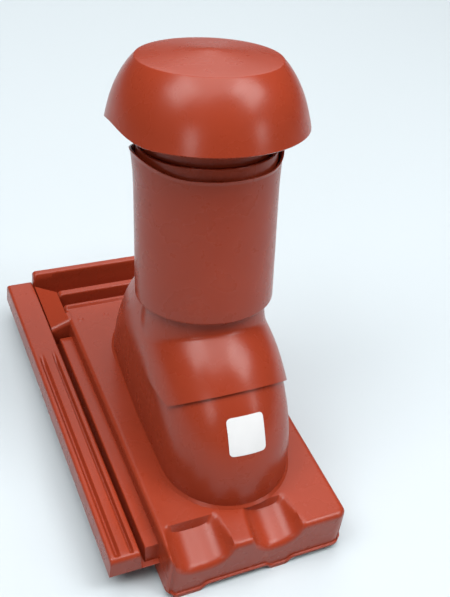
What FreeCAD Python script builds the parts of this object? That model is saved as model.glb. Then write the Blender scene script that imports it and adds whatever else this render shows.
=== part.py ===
import FreeCAD, Part
import math
import os

os.makedirs("parts", exist_ok=True)

V = FreeCAD.Vector

# Tile body: the raised field the weather runs over, x across, y up the slope, z off the roof
body_half = 86.0
body_front = 177.0
body_head = 223.0
field_z = 52.0
sheet = 3.0
trim_z = 7.0
trim_lip = 2.0
wall_draft = 2.5
edge_r = 5.0
deep = -30.0

# Side lap on the left: a ribbed band and a drain channel, set back from the eave
lap_width = 48.0
lap_z = 44.0
lap_trim_z = 22.0
lap_setback = 24.0
channel_width = 19.0
channel_z = 22.0
shelf_z = 38.0
shelf_width = 13.0
shelf_front = 148.0
shelf_head = body_head - 89.0
channel_head = body_head - 85.0
rib_groove_width = 2.4
rib_groove_depth = 4.0
rib_groove_head = body_head - 117.0

# Head lap: ledge, middle rib and head wall with two drain grooves between them
ledge_y = body_head - 66.0
ledge_rise = 2.5
mid_rib_y = body_head - 43.0
mid_rib_top = 8.0
mid_rib_z = 54.0
groove_front_z = 36.0
groove_head_z = 27.0
head_wall = 8.0
head_wall_z = 58.0

# Eave flutes and the feet below them
flutes = ((-56.5, 27.0), (15.5, 23.0))
flute_r = 19.0
flute_flare = 4.0
flute_back = 38.0
flute_depth_back = 9.0
flute_depth_front = 20.0
feet_places = ((-68.0, 18.0), (22.0, 14.0))
foot_r = 5.0

# Batten lugs under the head
lug_x = 50.0
lug_width = 26.0
lug_depth = 12.0

# Nail marks on the left of the field and the blank label on the dome's nose
nail_mark_x = (-74.0, -46.0)
nail_mark_y = ledge_y - 17.5
nail_mark_r = 2.5
label_width = 34.5
label_height = 36.0
label_x = -2.0
label_deg = 58.0
label_corner = 4.0
label_sheet = 0.3

# Dome: a drum with a round crown turned about the swivel axis
dome_half = 61.0
dome_hub = 78.5

# Swivel: the skirt slides over the dome, the slide runs inside it
swivel_gap = 0.8
skirt_sheet = 2.5
skirt_front_deg = 42.0
skirt_rear_deg = 46.0
skirt_edge_z = 130.0
slide_sheet = 2.0
slide_deg = 33.0
slide_edge_z = 132.0
lean_deg = 12.7
stack_offset = 23.3
travel_forward_deg = 2.0
travel_back_deg = 15.0
slot_play = 2.0

# Vent stack, heights along its own axis from the field of the tile
pipe_r = 50.0
pipe_sheet = 2.4
pipe_low = 20.0
pipe_top = 308.0
pipe_flange = 3.0
pipe_room = 2.0
spigot_length = 56.0
spigot_lead = 4.0
spigot_bead = 2.5
neck_sheet = 2.5
neck_r = pipe_r + pipe_room + neck_sheet
neck_top = 155.0
neck_flare = 3.5
neck_flare_top = 136.0
neck_flare_low = 106.0
tube_step = 8.0
tube_r = neck_r + tube_step
tube_sheet = 2.5
tube_low = 138.0
tube_top = 270.0
tube_lip = 2.2
tube_lip_height = 6.0

# Cap: collar in the tube mouth, webs and rain hood
collar_low = 247.0
collar_top = 279.5
collar_sheet = 2.5
hood_overhang = 23.3
hood_rim = 298.5
hood_rim_r = tube_r + hood_overhang
hood_disc = 352.0
hood_disc_r = hood_rim_r - 25.3
hood_apex = 358.5
hood_sheet = 2.5
web_sheet = 3.0
web_reach = 8.0
web_clear = 14.0
sleeve_room = 2.5
sleeve_sheet = 2.5
sleeve_low = 262.0
sleeve_top = 300.0
hood_arch_rise = 7.5
hood_arch_half = 38.0
tube_arch_rise = 9.0
tube_arch_half = 42.0

# Middle of the tile's outline, which the frame's origin lies below
outline_left = -body_half - lap_width - 1 + 2 * (lap_trim_z - deep) / (lap_z - deep)
outline_right = body_half + wall_draft + trim_lip
middle_x = (outline_left + outline_right) / 2
middle_y = (body_head - body_front - trim_lip) / 2


def rounded_face(corners, place):
    """A flat face through corners given as (u, v, corner radius)."""
    bends = []
    for i, (u, v, r) in enumerate(corners):
        here = V(u, v, 0)
        back = V(corners[i - 1][0], corners[i - 1][1], 0) - here
        ahead = V(corners[(i + 1) % len(corners)][0], corners[(i + 1) % len(corners)][1], 0) - here
        back.normalize()
        ahead.normalize()
        half = back.getAngle(ahead) / 2
        middle = back + ahead
        if r > 0:
            middle.normalize()
        reach = r / math.tan(half)
        bends.append((here + back * reach, here + middle * (r / math.sin(half) - r), here + ahead * reach, r))
    edges = []
    for i, (start, middle, end, r) in enumerate(bends):
        if r > 0:
            edges.append(Part.Arc(place(start), place(middle), place(end)).toShape())
        following = bends[(i + 1) % len(bends)][0]
        if (following - end).Length > 1e-6:
            edges.append(Part.makeLine(place(end), place(following)))
    return Part.Face(Part.Wire(edges))


def slope_run(corners, y0, y1):
    """A section across the tile, run up the slope from y0 to y1."""
    face = rounded_face(corners, lambda p: V(p.x, y0, p.y))
    return face.extrude(V(0, y1 - y0, 0))


def cross_run(corners, x0, x1):
    """A section up the slope, run across the tile from x0 to x1."""
    face = rounded_face(corners, lambda p: V(x0, p.x, p.y))
    return face.extrude(V(x1 - x0, 0, 0))


def block(x0, x1, y0, y1, z0, z1):
    return Part.makeBox(x1 - x0, y1 - y0, z1 - z0, V(x0, y0, z0))


def slab(low, high):
    """Everything over and round the tile between two heights."""
    return block(-2 * body_head, 2 * body_head, -2 * body_head, 2 * body_head, low, high)


def drum(grow):
    """The dome's full drum about the swivel axis, grown or shrunk square to its skin."""
    a = dome_half + grow
    rim = Part.Arc(V(-a, 0, dome_hub), V(0, 0, dome_hub + a), V(a, 0, dome_hub)).toShape()
    outline = Part.Wire([
        Part.makeLine(V(-a, 0, 0), V(-a, 0, dome_hub)),
        rim,
        Part.makeLine(V(a, 0, dome_hub), V(a, 0, 0)),
        Part.makeLine(V(a, 0, 0), V(-a, 0, 0)),
    ])
    shape = Part.Face(outline).revolve(V(0, 0, 0), V(1, 0, 0), 360)
    shape.translate(V(0, 0, field_z))
    return shape


def sector(front_deg, rear_deg, half):
    """A wedge about the swivel axis between two angles off the tile's normal."""
    reach = 3 * (dome_hub + dome_half)
    front = math.radians(front_deg)
    rear = math.radians(rear_deg)
    corners = [
        V(-half, 0, field_z),
        V(-half, -reach * math.sin(front), field_z + reach * math.cos(front)),
        V(-half, 0, field_z + reach),
        V(-half, reach * math.sin(rear), field_z + reach * math.cos(rear)),
    ]
    return Part.Face(Part.makePolygon(corners + corners[:1])).extrude(V(2 * half, 0, 0))


def on_stack(shape):
    """Moves a shape built about its own axis onto the leaning vent stack."""
    shape.Placement = FreeCAD.Placement(
        V(0, -stack_offset, field_z),
        FreeCAD.Rotation(V(1, 0, 0), -lean_deg),
    )
    return shape


def stack_cylinder(r, low, high):
    return on_stack(Part.makeCylinder(r, high - low, V(0, 0, low)))


def turned(corners):
    """A ring or cup turned about the stack axis from (radius, height, corner radius)."""
    face = rounded_face(corners, lambda p: V(p.x, 0, p.y))
    return face.revolve(V(0, 0, 0), V(0, 0, 1), 360)


# The main body, its top section taken both ways so that every upper edge is round


def body_form(inset):
    top = field_z - inset
    half = body_half - inset
    across = [
        (-half - wall_draft, deep, 0),
        (-half, top, edge_r - inset * 0.5),
        (half, top, edge_r - inset * 0.5),
        (half + wall_draft, deep, 0),
    ]
    tall_across = [(u, v if v < 0 else v + 60, 0) for u, v, r in across]
    up_slope = head_section(inset)
    field = slope_run(across, -body_front, ledge_y).common(cross_run(up_slope, -2 * body_half, 2 * body_half))
    head = slope_run(tall_across, ledge_y - 1, body_head)
    head = head.common(cross_run(up_slope, -2 * body_half, 2 * body_half))
    return field.fuse(head)


def head_section(inset):
    front = -body_front + inset
    if inset:
        return [
            (front, deep, 0),
            (front, field_z - inset, edge_r - inset * 0.5),
            (ledge_y - inset, field_z - inset, inset),
            (ledge_y + 4.0, groove_front_z - inset, 1),
            (mid_rib_y + mid_rib_top - inset, groove_front_z - inset, 1),
            (mid_rib_y + mid_rib_top - inset + 1, groove_head_z - inset, 1),
            (body_head - inset, groove_head_z - inset, 1),
            (body_head - inset, deep, 0),
        ]
    return [
        (front, deep, 0),
        (front, field_z, edge_r),
        (ledge_y, field_z, 2),
        (ledge_y + 3, field_z + ledge_rise, 1.2),
        (ledge_y + 6, field_z + ledge_rise, 1.2),
        (ledge_y + 8, groove_front_z, 2),
        (mid_rib_y - 1.5, groove_front_z, 2),
        (mid_rib_y, mid_rib_z, 2),
        (mid_rib_y + mid_rib_top, mid_rib_z, 2),
        (mid_rib_y + mid_rib_top + 2, groove_head_z, 2),
        (body_head - head_wall - 2, groove_head_z, 2),
        (body_head - head_wall, head_wall_z, 2.5),
        (body_head, head_wall_z, 2.5),
        (body_head, deep, 0),
    ]


# The side lap: ribbed band on the outside, drain channel with its ridge beside the body


def lap_form(inset):
    left = -body_half - lap_width
    band = -body_half - channel_width
    front = -body_front + lap_setback + inset
    head = body_head - inset
    if inset:
        top = lap_z - rib_groove_depth - inset
        across = [
            (left + inset, deep, 0),
            (left + inset, top, 2),
            (band - inset - 1, top, 1),
            (band - inset, channel_z - inset, 1),
            (-body_half + 3 * inset, channel_z - inset, 0),
            (-body_half + 3 * inset, deep, 0),
        ]
    else:
        top = lap_z
        across = [
            (left - 1, deep, 0),
            (left + 1, top, 2.5),
            (band - 1, top, 2),
            (band + 1, channel_z, 1.5),
            (-body_half + 6, channel_z, 0),
            (-body_half + 6, deep, 0),
        ]
    ends = [(front, deep, 0), (front, top, edge_r), (head, top, edge_r), (head, deep, 0)]
    return slope_run(across, front, head).common(cross_run(ends, left - 10, 0))


def channel_shelf(inset):
    """The step along the body that narrows the drain channel, open below as the sheet is."""
    left = -body_half - shelf_width + inset
    right = -body_half
    low = deep if inset else channel_z - sheet / 2
    top = shelf_z - inset
    front = -shelf_front + inset
    head = shelf_head - inset
    across = [
        (left - 1, low, 0),
        (left, top, 1.5),
        (right, top, 0),
        (right, low, 0),
    ]
    along = [(front, low, 0), (front + 3, top, 2), (head - 3, top, 2), (head, low, 0)]
    return slope_run(across, front, head).common(cross_run(along, left - 5, right))


def head_fill(inset):
    """The head groove and head wall carried on over the channel's head end to the ribbed band."""
    left = -body_half - channel_width + inset
    run = cross_run(head_section(inset), left, -body_half + edge_r)
    low = deep if inset else channel_z - sheet
    return run.common(block(left, 0, mid_rib_y + mid_rib_top, body_head, low, 2 * head_wall_z))


def head_groove_side(inset):
    """All on the ridge side of the skew edge at which the saddle drops into the head groove."""
    left = -body_half - channel_width - 1
    rib_back = mid_rib_y + mid_rib_top - inset
    foot = body_head - head_wall - inset
    plan = [
        V(left, foot, deep),
        V(-body_half, rib_back, deep),
        V(0, rib_back, deep),
        V(0, 2 * body_head, deep),
        V(left, 2 * body_head, deep),
    ]
    return Part.Face(Part.makePolygon(plan + plan[:1])).extrude(V(0, 0, 3 * field_z))


def saddle(inset):
    """The slope from the field down to the ribbed band past the channel's head end."""
    left = -body_half - channel_width
    right = -body_half - (inset + wall_draft if inset else 0)
    fall = (field_z - lap_z) / channel_width
    top = lap_z - 1.1 * inset
    brow_z = top + fall * (right - left)
    low = deep if inset else channel_z - sheet
    slope = slope_run([
        (left + inset, low, 0),
        (left + inset, top + fall * inset, 0),
        (right, brow_z, 0),
        (right, low, 0),
    ], channel_head + inset, body_head)
    brow = block(right, -body_half + 2 * edge_r, channel_head + inset, ledge_y - inset, low, brow_z)
    return slope.cut(head_groove_side(inset)).fuse(brow)


def rib_grooves():
    left = -body_half - lap_width
    band = -body_half - channel_width
    y0 = -body_front + lap_setback + edge_r
    cuts = []
    for share in (0.29, 0.73):
        x = left + share * (band - left)
        w = rib_groove_width / 2
        low = lap_z - rib_groove_depth
        cuts.append(slope_run([
            (x - w, lap_z + 5, 0),
            (x - w, low, w * 0.8),
            (x + w, low, w * 0.8),
            (x + w, lap_z + 5, 0),
        ], y0, rib_groove_head))
    return cuts


def flute(x, half, grow):
    """One eave flute: a round-cornered trough that deepens to the eave, with a flat back end."""
    slope = (flute_depth_front - flute_depth_back) / flute_back
    y_back = -body_front + flute_back + grow
    low = field_z - flute_depth_back - grow
    w = half + grow
    corners = [
        (x - w - flute_flare, field_z + 2 * flute_depth_back, 0),
        (x - w + flute_flare, low, flute_r),
        (x + w - flute_flare, low, flute_r),
        (x + w + flute_flare, field_z + 2 * flute_depth_back, 0),
    ]
    face = rounded_face(corners, lambda p: V(p.x, y_back, p.y))
    run = flute_back + 20
    return face.extrude(V(0, -run, -run * slope))


def feet():
    """Rounded lobes of the eave wall, the tile's resting edge at the eave."""
    shapes = []
    for x, half in feet_places:
        corners = [
            (x - half, trim_z + 6, 0),
            (x - half + 3, 0, foot_r),
            (x + half - 3, 0, foot_r),
            (x + half, trim_z + 6, 0),
        ]
        shapes.append(slope_run(corners, -body_front, -body_front + 2 * sheet))
    return shapes


def lugs():
    shapes = []
    for x in (-lug_x, lug_x):
        shapes.append(cross_run([
            (body_head - sheet, groove_head_z - sheet / 2, 0),
            (body_head - sheet, 0, 0),
            (body_head - sheet - lug_depth, 0, 3),
            (body_head - sheet - lug_depth - 4, groove_head_z - sheet / 2, 0),
        ], x - lug_width / 2, x + lug_width / 2))
    return shapes


def trim_lips():
    """Small outward lip round the eave and right edges where the sheet was trimmed."""
    top = trim_z + trim_lip
    right = body_half + wall_draft
    lip = block(-body_half, right + trim_lip, -body_front - trim_lip, -body_front + sheet, trim_z, top)
    return lip.fuse(block(right - sheet, right + trim_lip, -body_front, body_head, trim_z, top))


def stack_angles():
    """Angles off the normal at which the pipe's two sides cross the dome's skin."""
    lean = math.radians(lean_deg)
    skin = dome_hub + dome_half
    middle = stack_offset * math.cos(lean)
    front = math.degrees(math.asin((middle + pipe_r) / skin)) - lean_deg
    rear = math.degrees(math.asin((pipe_r - middle) / skin)) + lean_deg
    return front, rear


def base_tile():
    band = -body_half - channel_width - sheet
    lap = lap_form(0).cut(block(2 * band, band, -2 * body_head, 2 * body_head, 2 * deep, lap_trim_z))
    lap = lap.cut(block(2 * band, 0, -2 * body_head, 2 * body_head, 2 * deep, channel_z - sheet))
    for cut in rib_grooves():
        lap = lap.cut(cut)
    body = body_form(0).fuse(lap).fuse(channel_shelf(0)).fuse(head_fill(0)).fuse(saddle(0))
    for x, half in flutes:
        body = body.cut(flute(x, half, 0))
    hollow = body_form(sheet)
    for x, half in flutes:
        hollow = hollow.cut(flute(x, half, sheet))
    hollow = hollow.fuse(lap_form(sheet)).fuse(head_fill(sheet)).fuse(saddle(sheet))
    hollow = hollow.fuse(channel_shelf(sheet))
    body = body.fuse(drum(0).common(slab(field_z - sheet / 2, field_z + hood_apex)))
    body = body.cut(hollow).cut(drum(-sheet).common(slab(0, field_z + hood_apex)))
    body = body.cut(slab(2 * deep, trim_z))
    front, rear = stack_angles()
    half = pipe_r + slot_play
    slot = sector(front + travel_forward_deg + slot_play, rear + travel_back_deg + slot_play, half)
    body = body.cut(slot.common(slab(field_z + dome_hub / 4, field_z + hood_apex)))
    for x in nail_mark_x:
        body = body.cut(Part.makeSphere(nail_mark_r, V(x, nail_mark_y, field_z + nail_mark_r / 2)))
    for extra in feet() + lugs() + [trim_lips()]:
        body = body.fuse(extra)
    return body.removeSplitter()


def label():
    """A blank sticker bent round the dome's nose."""
    w = label_width / 2
    h = label_height / 2
    plate = rounded_face(
        [(-w, -h, label_corner), (w, -h, label_corner), (w, h, label_corner), (-w, h, label_corner)],
        lambda p: V(p.x, p.y, dome_hub),
    ).extrude(V(0, 0, 2 * dome_half))
    plate.rotate(V(0, 0, 0), V(1, 0, 0), label_deg)
    plate.translate(V(label_x, 0, field_z))
    return drum(label_sheet).cut(drum(0)).common(plate)


# The swivelling skirt with the neck that carries the tube


def swivel_skirt():
    inside = drum(swivel_gap)
    shell = drum(swivel_gap + skirt_sheet).cut(inside)
    shell = shell.common(sector(skirt_front_deg, skirt_rear_deg, 2 * dome_half))
    shell = shell.common(slab(skirt_edge_z, field_z + hood_apex))
    rise = neck_flare_top - neck_flare_low
    flare = Part.makeCone(neck_r + neck_flare, neck_r, rise, V(0, 0, neck_flare_low))
    neck = stack_cylinder(neck_r, neck_flare_low / 2, neck_top).fuse(on_stack(flare)).cut(inside)
    neck = neck.common(slab(skirt_edge_z - 4 * skirt_sheet, field_z + hood_apex))
    bore = stack_cylinder(neck_r - neck_sheet, 0, tube_top)
    return shell.fuse(neck).cut(bore).removeSplitter()


def inner_slide():
    outside = -sheet - swivel_gap
    shell = drum(outside).cut(drum(outside - slide_sheet))
    shell = shell.common(sector(slide_deg, slide_deg, 2 * dome_half))
    shell = shell.common(slab(slide_edge_z, field_z + hood_apex))
    return shell.cut(stack_cylinder(pipe_r, 0, pipe_top)).removeSplitter()


# The vent stack: weather tube outside, vent pipe inside


def side_arch(r, half, rise, foot):
    """A round bar across the stack that lifts an edge at both sides."""
    big = (half * half + rise * rise) / (2 * rise)
    return Part.makeCylinder(big, 4 * r, V(-2 * r, 0, foot + rise - big), V(1, 0, 0))


def outer_tube():
    inner = tube_r - tube_sheet
    tube = turned([
        (neck_r, tube_low, 0),
        (tube_r, tube_low, 2.5),
        (tube_r, tube_top - tube_lip_height, 2),
        (tube_r + tube_lip, tube_top, 0),
        (inner + tube_lip, tube_top, 0),
        (inner, tube_top - tube_lip_height, 2),
        (inner, tube_low + tube_sheet, 0),
        (neck_r, tube_low + tube_sheet, 0),
    ])
    ears = turned([
        (inner + tube_lip / 2, tube_top - tube_lip_height / 2, 0),
        (tube_r + tube_lip / 2, tube_top - tube_lip_height / 2, 0),
        (tube_r + 2 * tube_lip, tube_top + tube_arch_rise, 0),
        (inner + 2 * tube_lip, tube_top + tube_arch_rise, 0),
    ])
    ears = ears.common(side_arch(tube_r, tube_arch_half, tube_arch_rise, tube_top))
    tube = on_stack(tube.fuse(ears).removeSplitter())
    return tube.cut(drum(swivel_gap + skirt_sheet))


def vent_pipe():
    inner = pipe_r - pipe_sheet
    bead = pipe_low + spigot_lead + spigot_length
    pipe = turned([
        (pipe_r - pipe_sheet / 2, pipe_low, 0),
        (pipe_r, pipe_low + spigot_lead, 0),
        (pipe_r, bead, 0),
        (pipe_r + spigot_bead, bead, 0.6),
        (pipe_r + spigot_bead, bead + spigot_bead, 0.6),
        (pipe_r, bead + spigot_bead, 0),
        (pipe_r, neck_top, 0),
        (neck_r, neck_top, 0),
        (neck_r, neck_top + pipe_flange, 1),
        (pipe_r, neck_top + pipe_flange, 0),
        (pipe_r, pipe_top, 0.8),
        (inner, pipe_top, 0.8),
        (inner, pipe_low, 0),
    ])
    return on_stack(pipe)


def cap_collar():
    outer = tube_r - tube_sheet
    ring = turned([
        (outer - collar_sheet, collar_low, 0),
        (outer, collar_low, 0),
        (outer, collar_top, 1),
        (outer - collar_sheet, collar_top, 1),
    ])
    return on_stack(ring)


def hood_skin(grow):
    """The hood's solid bell, grown or shrunk square to its skin."""
    top = hood_apex + grow
    edge = hood_disc + grow
    low = hood_rim if grow == 0 else hood_rim - 10
    shoulder = V(hood_disc_r + 1 + grow * 0.7, 0, edge - 1.5)
    drop = hood_disc - hood_rim
    flare = hood_rim_r - hood_disc_r
    waist = V(hood_disc_r + flare * 0.46 + grow * 0.85, 0, edge - drop * 0.29)
    hip = V(hood_disc_r + flare * 0.81 + grow, 0, edge - drop * 0.66)
    rim = V(hood_rim_r + grow, 0, low)
    side = Part.BSplineCurve()
    side.interpolate([shoulder, waist, hip, rim])
    brow = V(hood_disc_r - 4 + grow * 0.5, 0, edge + 0.8)
    nose = V(hood_disc_r - 1 + grow * 0.6, 0, edge + 0.1)
    outline = Part.Wire([
        Part.makeLine(V(0, 0, low), V(0, 0, top)),
        Part.makeLine(V(0, 0, top), brow),
        Part.Arc(brow, nose, shoulder).toShape(),
        side.toShape(),
        Part.makeLine(rim, V(0, 0, low)),
    ])
    return Part.Face(outline).revolve(V(0, 0, 0), V(0, 0, 1), 360)


def hood_sleeve():
    """The ring under the webs that drops into the collar round the pipe."""
    outer = tube_r - tube_sheet - collar_sheet - sleeve_room
    return turned([
        (outer - sleeve_sheet, sleeve_low, 0),
        (outer, sleeve_low, 0),
        (outer, sleeve_top, 0.8),
        (outer - sleeve_sheet, sleeve_top, 0.8),
    ])


def rain_hood():
    inside = hood_skin(-hood_sheet)
    hood = hood_skin(0).cut(inside).cut(side_arch(hood_rim_r, hood_arch_half, hood_arch_rise, hood_rim))
    outer = tube_r - tube_sheet
    webs = []
    for turn in range(4):
        web = block(pipe_r + 1, hood_rim_r, -web_sheet / 2, web_sheet / 2, collar_top, hood_apex)
        web = web.cut(block(outer + web_reach, 2 * hood_rim_r, -web_sheet, web_sheet, 0, hood_rim + web_clear))
        web.rotate(V(0, 0, 0), V(0, 0, 1), 90 * turn)
        webs.append(web)
    for web in webs:
        hood = hood.fuse(web.common(hood_skin(-hood_sheet / 2).fuse(stub())))
    return on_stack(hood.fuse(hood_sleeve()).removeSplitter())


def stub():
    """Room below the hood in which the webs come down onto the collar."""
    return Part.makeCylinder(tube_r - tube_sheet, hood_rim - collar_top, V(0, 0, collar_top))


builders = {
    "base_tile": base_tile,
    "label": label,
    "swivel_skirt": swivel_skirt,
    "inner_slide": inner_slide,
    "outer_tube": outer_tube,
    "vent_pipe": vent_pipe,
    "cap_collar": cap_collar,
    "rain_hood": rain_hood,
}
for node, build in builders.items():
    shape = build()
    shape.translate(V(-middle_x, -middle_y, 0))
    shape.exportStep("parts/" + node + ".step")
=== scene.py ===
import math

import bpy
import numpy as np
from mathutils import Matrix, Vector


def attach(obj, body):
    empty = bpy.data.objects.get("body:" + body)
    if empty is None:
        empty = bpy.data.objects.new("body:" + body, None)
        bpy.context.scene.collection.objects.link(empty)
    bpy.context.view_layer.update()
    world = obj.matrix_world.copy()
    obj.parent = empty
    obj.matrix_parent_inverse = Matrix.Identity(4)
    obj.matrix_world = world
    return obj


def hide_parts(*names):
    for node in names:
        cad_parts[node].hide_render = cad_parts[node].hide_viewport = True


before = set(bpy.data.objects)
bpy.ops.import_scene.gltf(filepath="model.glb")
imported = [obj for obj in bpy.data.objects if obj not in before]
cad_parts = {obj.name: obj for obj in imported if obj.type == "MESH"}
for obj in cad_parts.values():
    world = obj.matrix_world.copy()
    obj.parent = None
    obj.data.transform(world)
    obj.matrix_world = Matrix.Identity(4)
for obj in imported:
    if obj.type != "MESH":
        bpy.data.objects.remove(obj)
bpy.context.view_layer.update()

# Base tile, main field: one vacuum-formed plastic sheet with round upper edges, a ledge, a rib
# and a wall at the head, and two soft flutes that run out through the eave wall.
# Sizes are millimetres from the point below the swivel axis, which lies at HOME in the frame.
MM = 0.001
HOME = np.array([21.547, -22.0, 0.0])
SHEET, FIELD_Z, TRIM_Z = 2.0, 52.0, 7.0
FIELD_HALF, LEFT_FOOT, RIGHT_FOOT = 86.0, -88.3, 88.2
LIP, LIP_Z, LIP_EDGE = 2.0, 9.0, 90.4
EAVE_Y, EAVE_ROUND, HEAD_Y = -177.0, 5.0, 223.0
LEDGE, LEDGE_Z, STEP_Z = (157.0, 160.0, 163.0, 165.0), 54.5, 36.0
RIB, RIB_Z, GROOVE_Z = (178.5, 180.0, 188.0, 190.0), 54.0, 27.0
WALL_FOOT, WALL_FRONT, WALL_Z = 213.0, 215.0, 58.0
FLUTES, FLUTE_BACK, FLUTE_FALL = ((-56.5, 27.0), (15.5, 23.0)), -139.0, 11.0 / 38.0
FLUTE_Z, FLUTE_TOP, FLUTE_SIDE, FLUTE_ROUND = 43.0, 70.0, 4.0, 24.0
FLUTE_BACK_SLOPE, FLUTE_BACK_SOFT, FLUTE_RIM_SOFT = 7.0, 1.0, 3.0
FLUTE_MOUTH, FLUTE_START = EAVE_Y + 12.0, FLUTE_BACK + 3.0
FEET, FOOT_SIDE, FOOT_BLEND, FOOT_BACK = ((-68.0, 18.0), (22.0, 14.0)), 7.0, 6.0, EAVE_Y + 7.0
CORNERS = ((FIELD_HALF, EAVE_Y, 9.0, 0.45), (-FIELD_HALF, EAVE_Y, 6.0, 0.87), (FIELD_HALF, HEAD_Y, 6.0, 0.0))
DOME_HALF, DOME_HUB = 61.0, 78.5
TAPER, TAPER_FROM = 0.2, -60.0
SNAP, SNAP_SLACK = 1.35, 0.3
WELD, TINY = 1e-5, 1e-6
SHARP_ANGLE = math.radians(50)


def bend(corners, arc=5):
    """An open line through (u, v, corner radius), with its corners turned into arcs."""
    line = [np.array(corners[0][:2], float)]
    for before, here, after in zip(corners, corners[1:], corners[2:]):
        p, r = np.array(here[:2], float), here[2]
        if r <= 0:
            line.append(p)
            continue
        a, b = np.array(before[:2]) - p, np.array(after[:2]) - p
        a, b = a / np.linalg.norm(a), b / np.linalg.norm(b)
        half = math.acos(np.clip(a @ b, -1, 1)) / 2
        axis = (a + b) / np.linalg.norm(a + b)
        centre = p + axis * r / math.sin(half)
        start, end = p + a * r / math.tan(half) - centre, p + b * r / math.tan(half) - centre
        turn = math.pi - 2 * half
        for t in np.linspace(0, 1, arc + 1):
            spoke = (math.sin((1 - t) * turn) * start + math.sin(t * turn) * end) / math.sin(turn)
            line.append(centre + spoke)
    line.append(np.array(corners[-1][:2], float))
    return np.array(line)


def divide(line, step):
    """The same line with no piece longer than step, which may depend on u."""
    out = [line[0]]
    for a, b in zip(line, line[1:]):
        size = step((a[0] + b[0]) / 2) if callable(step) else step
        n = max(1, int(np.ceil(np.linalg.norm(b - a) / size)))
        out += [a + (b - a) * i / n for i in range(1, n + 1)]
    return np.array(out)


def soft_min(a, b, k):
    """The lower of two heights, blended over a band of width k."""
    h = np.clip(0.5 + 0.5 * (b - a) / k, 0, 1)
    return b + (a - b) * h - k * h * (1 - h)


def round_off(dx, dy):
    """Where a square corner lies, and the share by which its points draw in to make it round."""
    near = (dx > 0) & (dy > 0)
    return near, np.where(near, np.maximum(dx, dy) / np.maximum(np.hypot(dx, dy), TINY), 1)


def all_corners(marked):
    """The squares of a grid whose four corners are marked."""
    return marked[:-1, :-1] & marked[1:, :-1] & marked[:-1, 1:] & marked[1:, 1:]


def skin(name, points, keep=None, around=False, thick=0.0, lip=0.0):
    """A smooth mesh through a grid of points; thick gives the sheet its inner face, which goes
    straight inwards below the height of a lip."""
    m, n = points.shape[:2]
    i, j = np.meshgrid(np.arange(m - 1), np.arange(n if around else n - 1), indexing="ij")
    k = (j + 1) % n
    quads = np.stack([i * n + j, i * n + k, (i + 1) * n + k, (i + 1) * n + j], -1)
    if keep is not None:
        quads = quads[keep]
    mesh = bpy.data.meshes.new(name)
    place = (points.reshape(-1, 3) + HOME) * MM
    mesh.from_pydata(place.tolist(), [], quads.reshape(-1, 4).tolist())
    piece = bpy.data.objects.new(name, mesh)
    bpy.context.collection.objects.link(piece)
    weld = piece.modifiers.new("weld", "WELD")
    weld.merge_threshold = WELD
    if thick:
        wall = piece.modifiers.new("wall", "SOLIDIFY")
        wall.thickness, wall.offset, wall.use_quality_normals = thick * MM, -1, True
    done = bake([piece], name)
    if thick:
        spots = np.empty(len(done.data.vertices) * 3)
        done.data.vertices.foreach_get("co", spots)
        spots = np.clip(spots.reshape(-1, 3), place.min(0), place.max(0))
        outer, inner = np.split(spots, 2)
        inwards = outer.mean(0) - outer
        inwards[:, 2] = 0
        low = outer[:, 2] < lip * MM
        inner[low] = (outer + inwards / np.linalg.norm(inwards, axis=1)[:, None] * thick * MM)[low]
        done.data.vertices.foreach_set("co", spots.ravel())
    return done


def bake(pieces, name):
    """Joins pieces into one plain smooth mesh."""
    graph = bpy.context.evaluated_depsgraph_get()
    meshes = [bpy.data.meshes.new_from_object(p.evaluated_get(graph)) for p in pieces]
    for p in pieces:
        bpy.data.objects.remove(p)
    verts, faces, start = [], [], 0
    for mesh in meshes:
        verts += [v.co[:] for v in mesh.vertices]
        faces += [[start + v for v in f.vertices] for f in mesh.polygons]
        start += len(mesh.vertices)
        bpy.data.meshes.remove(mesh)
    whole = bpy.data.meshes.new(name)
    whole.from_pydata(verts, [], faces)
    whole.validate()
    whole.shade_smooth()
    whole.set_sharp_from_angle(angle=SHARP_ANGLE)
    joined = bpy.data.objects.new(name, whole)
    bpy.context.collection.objects.link(joined)
    return joined


TERRACOTTA = (0.275, 0.0345, 0.0128)
MOTTLE, GLOSS_DRIFT, PEEL_DEPTH = 0.12, 0.07, 0.0004
PLASTIC_IOR = 1.38


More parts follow.
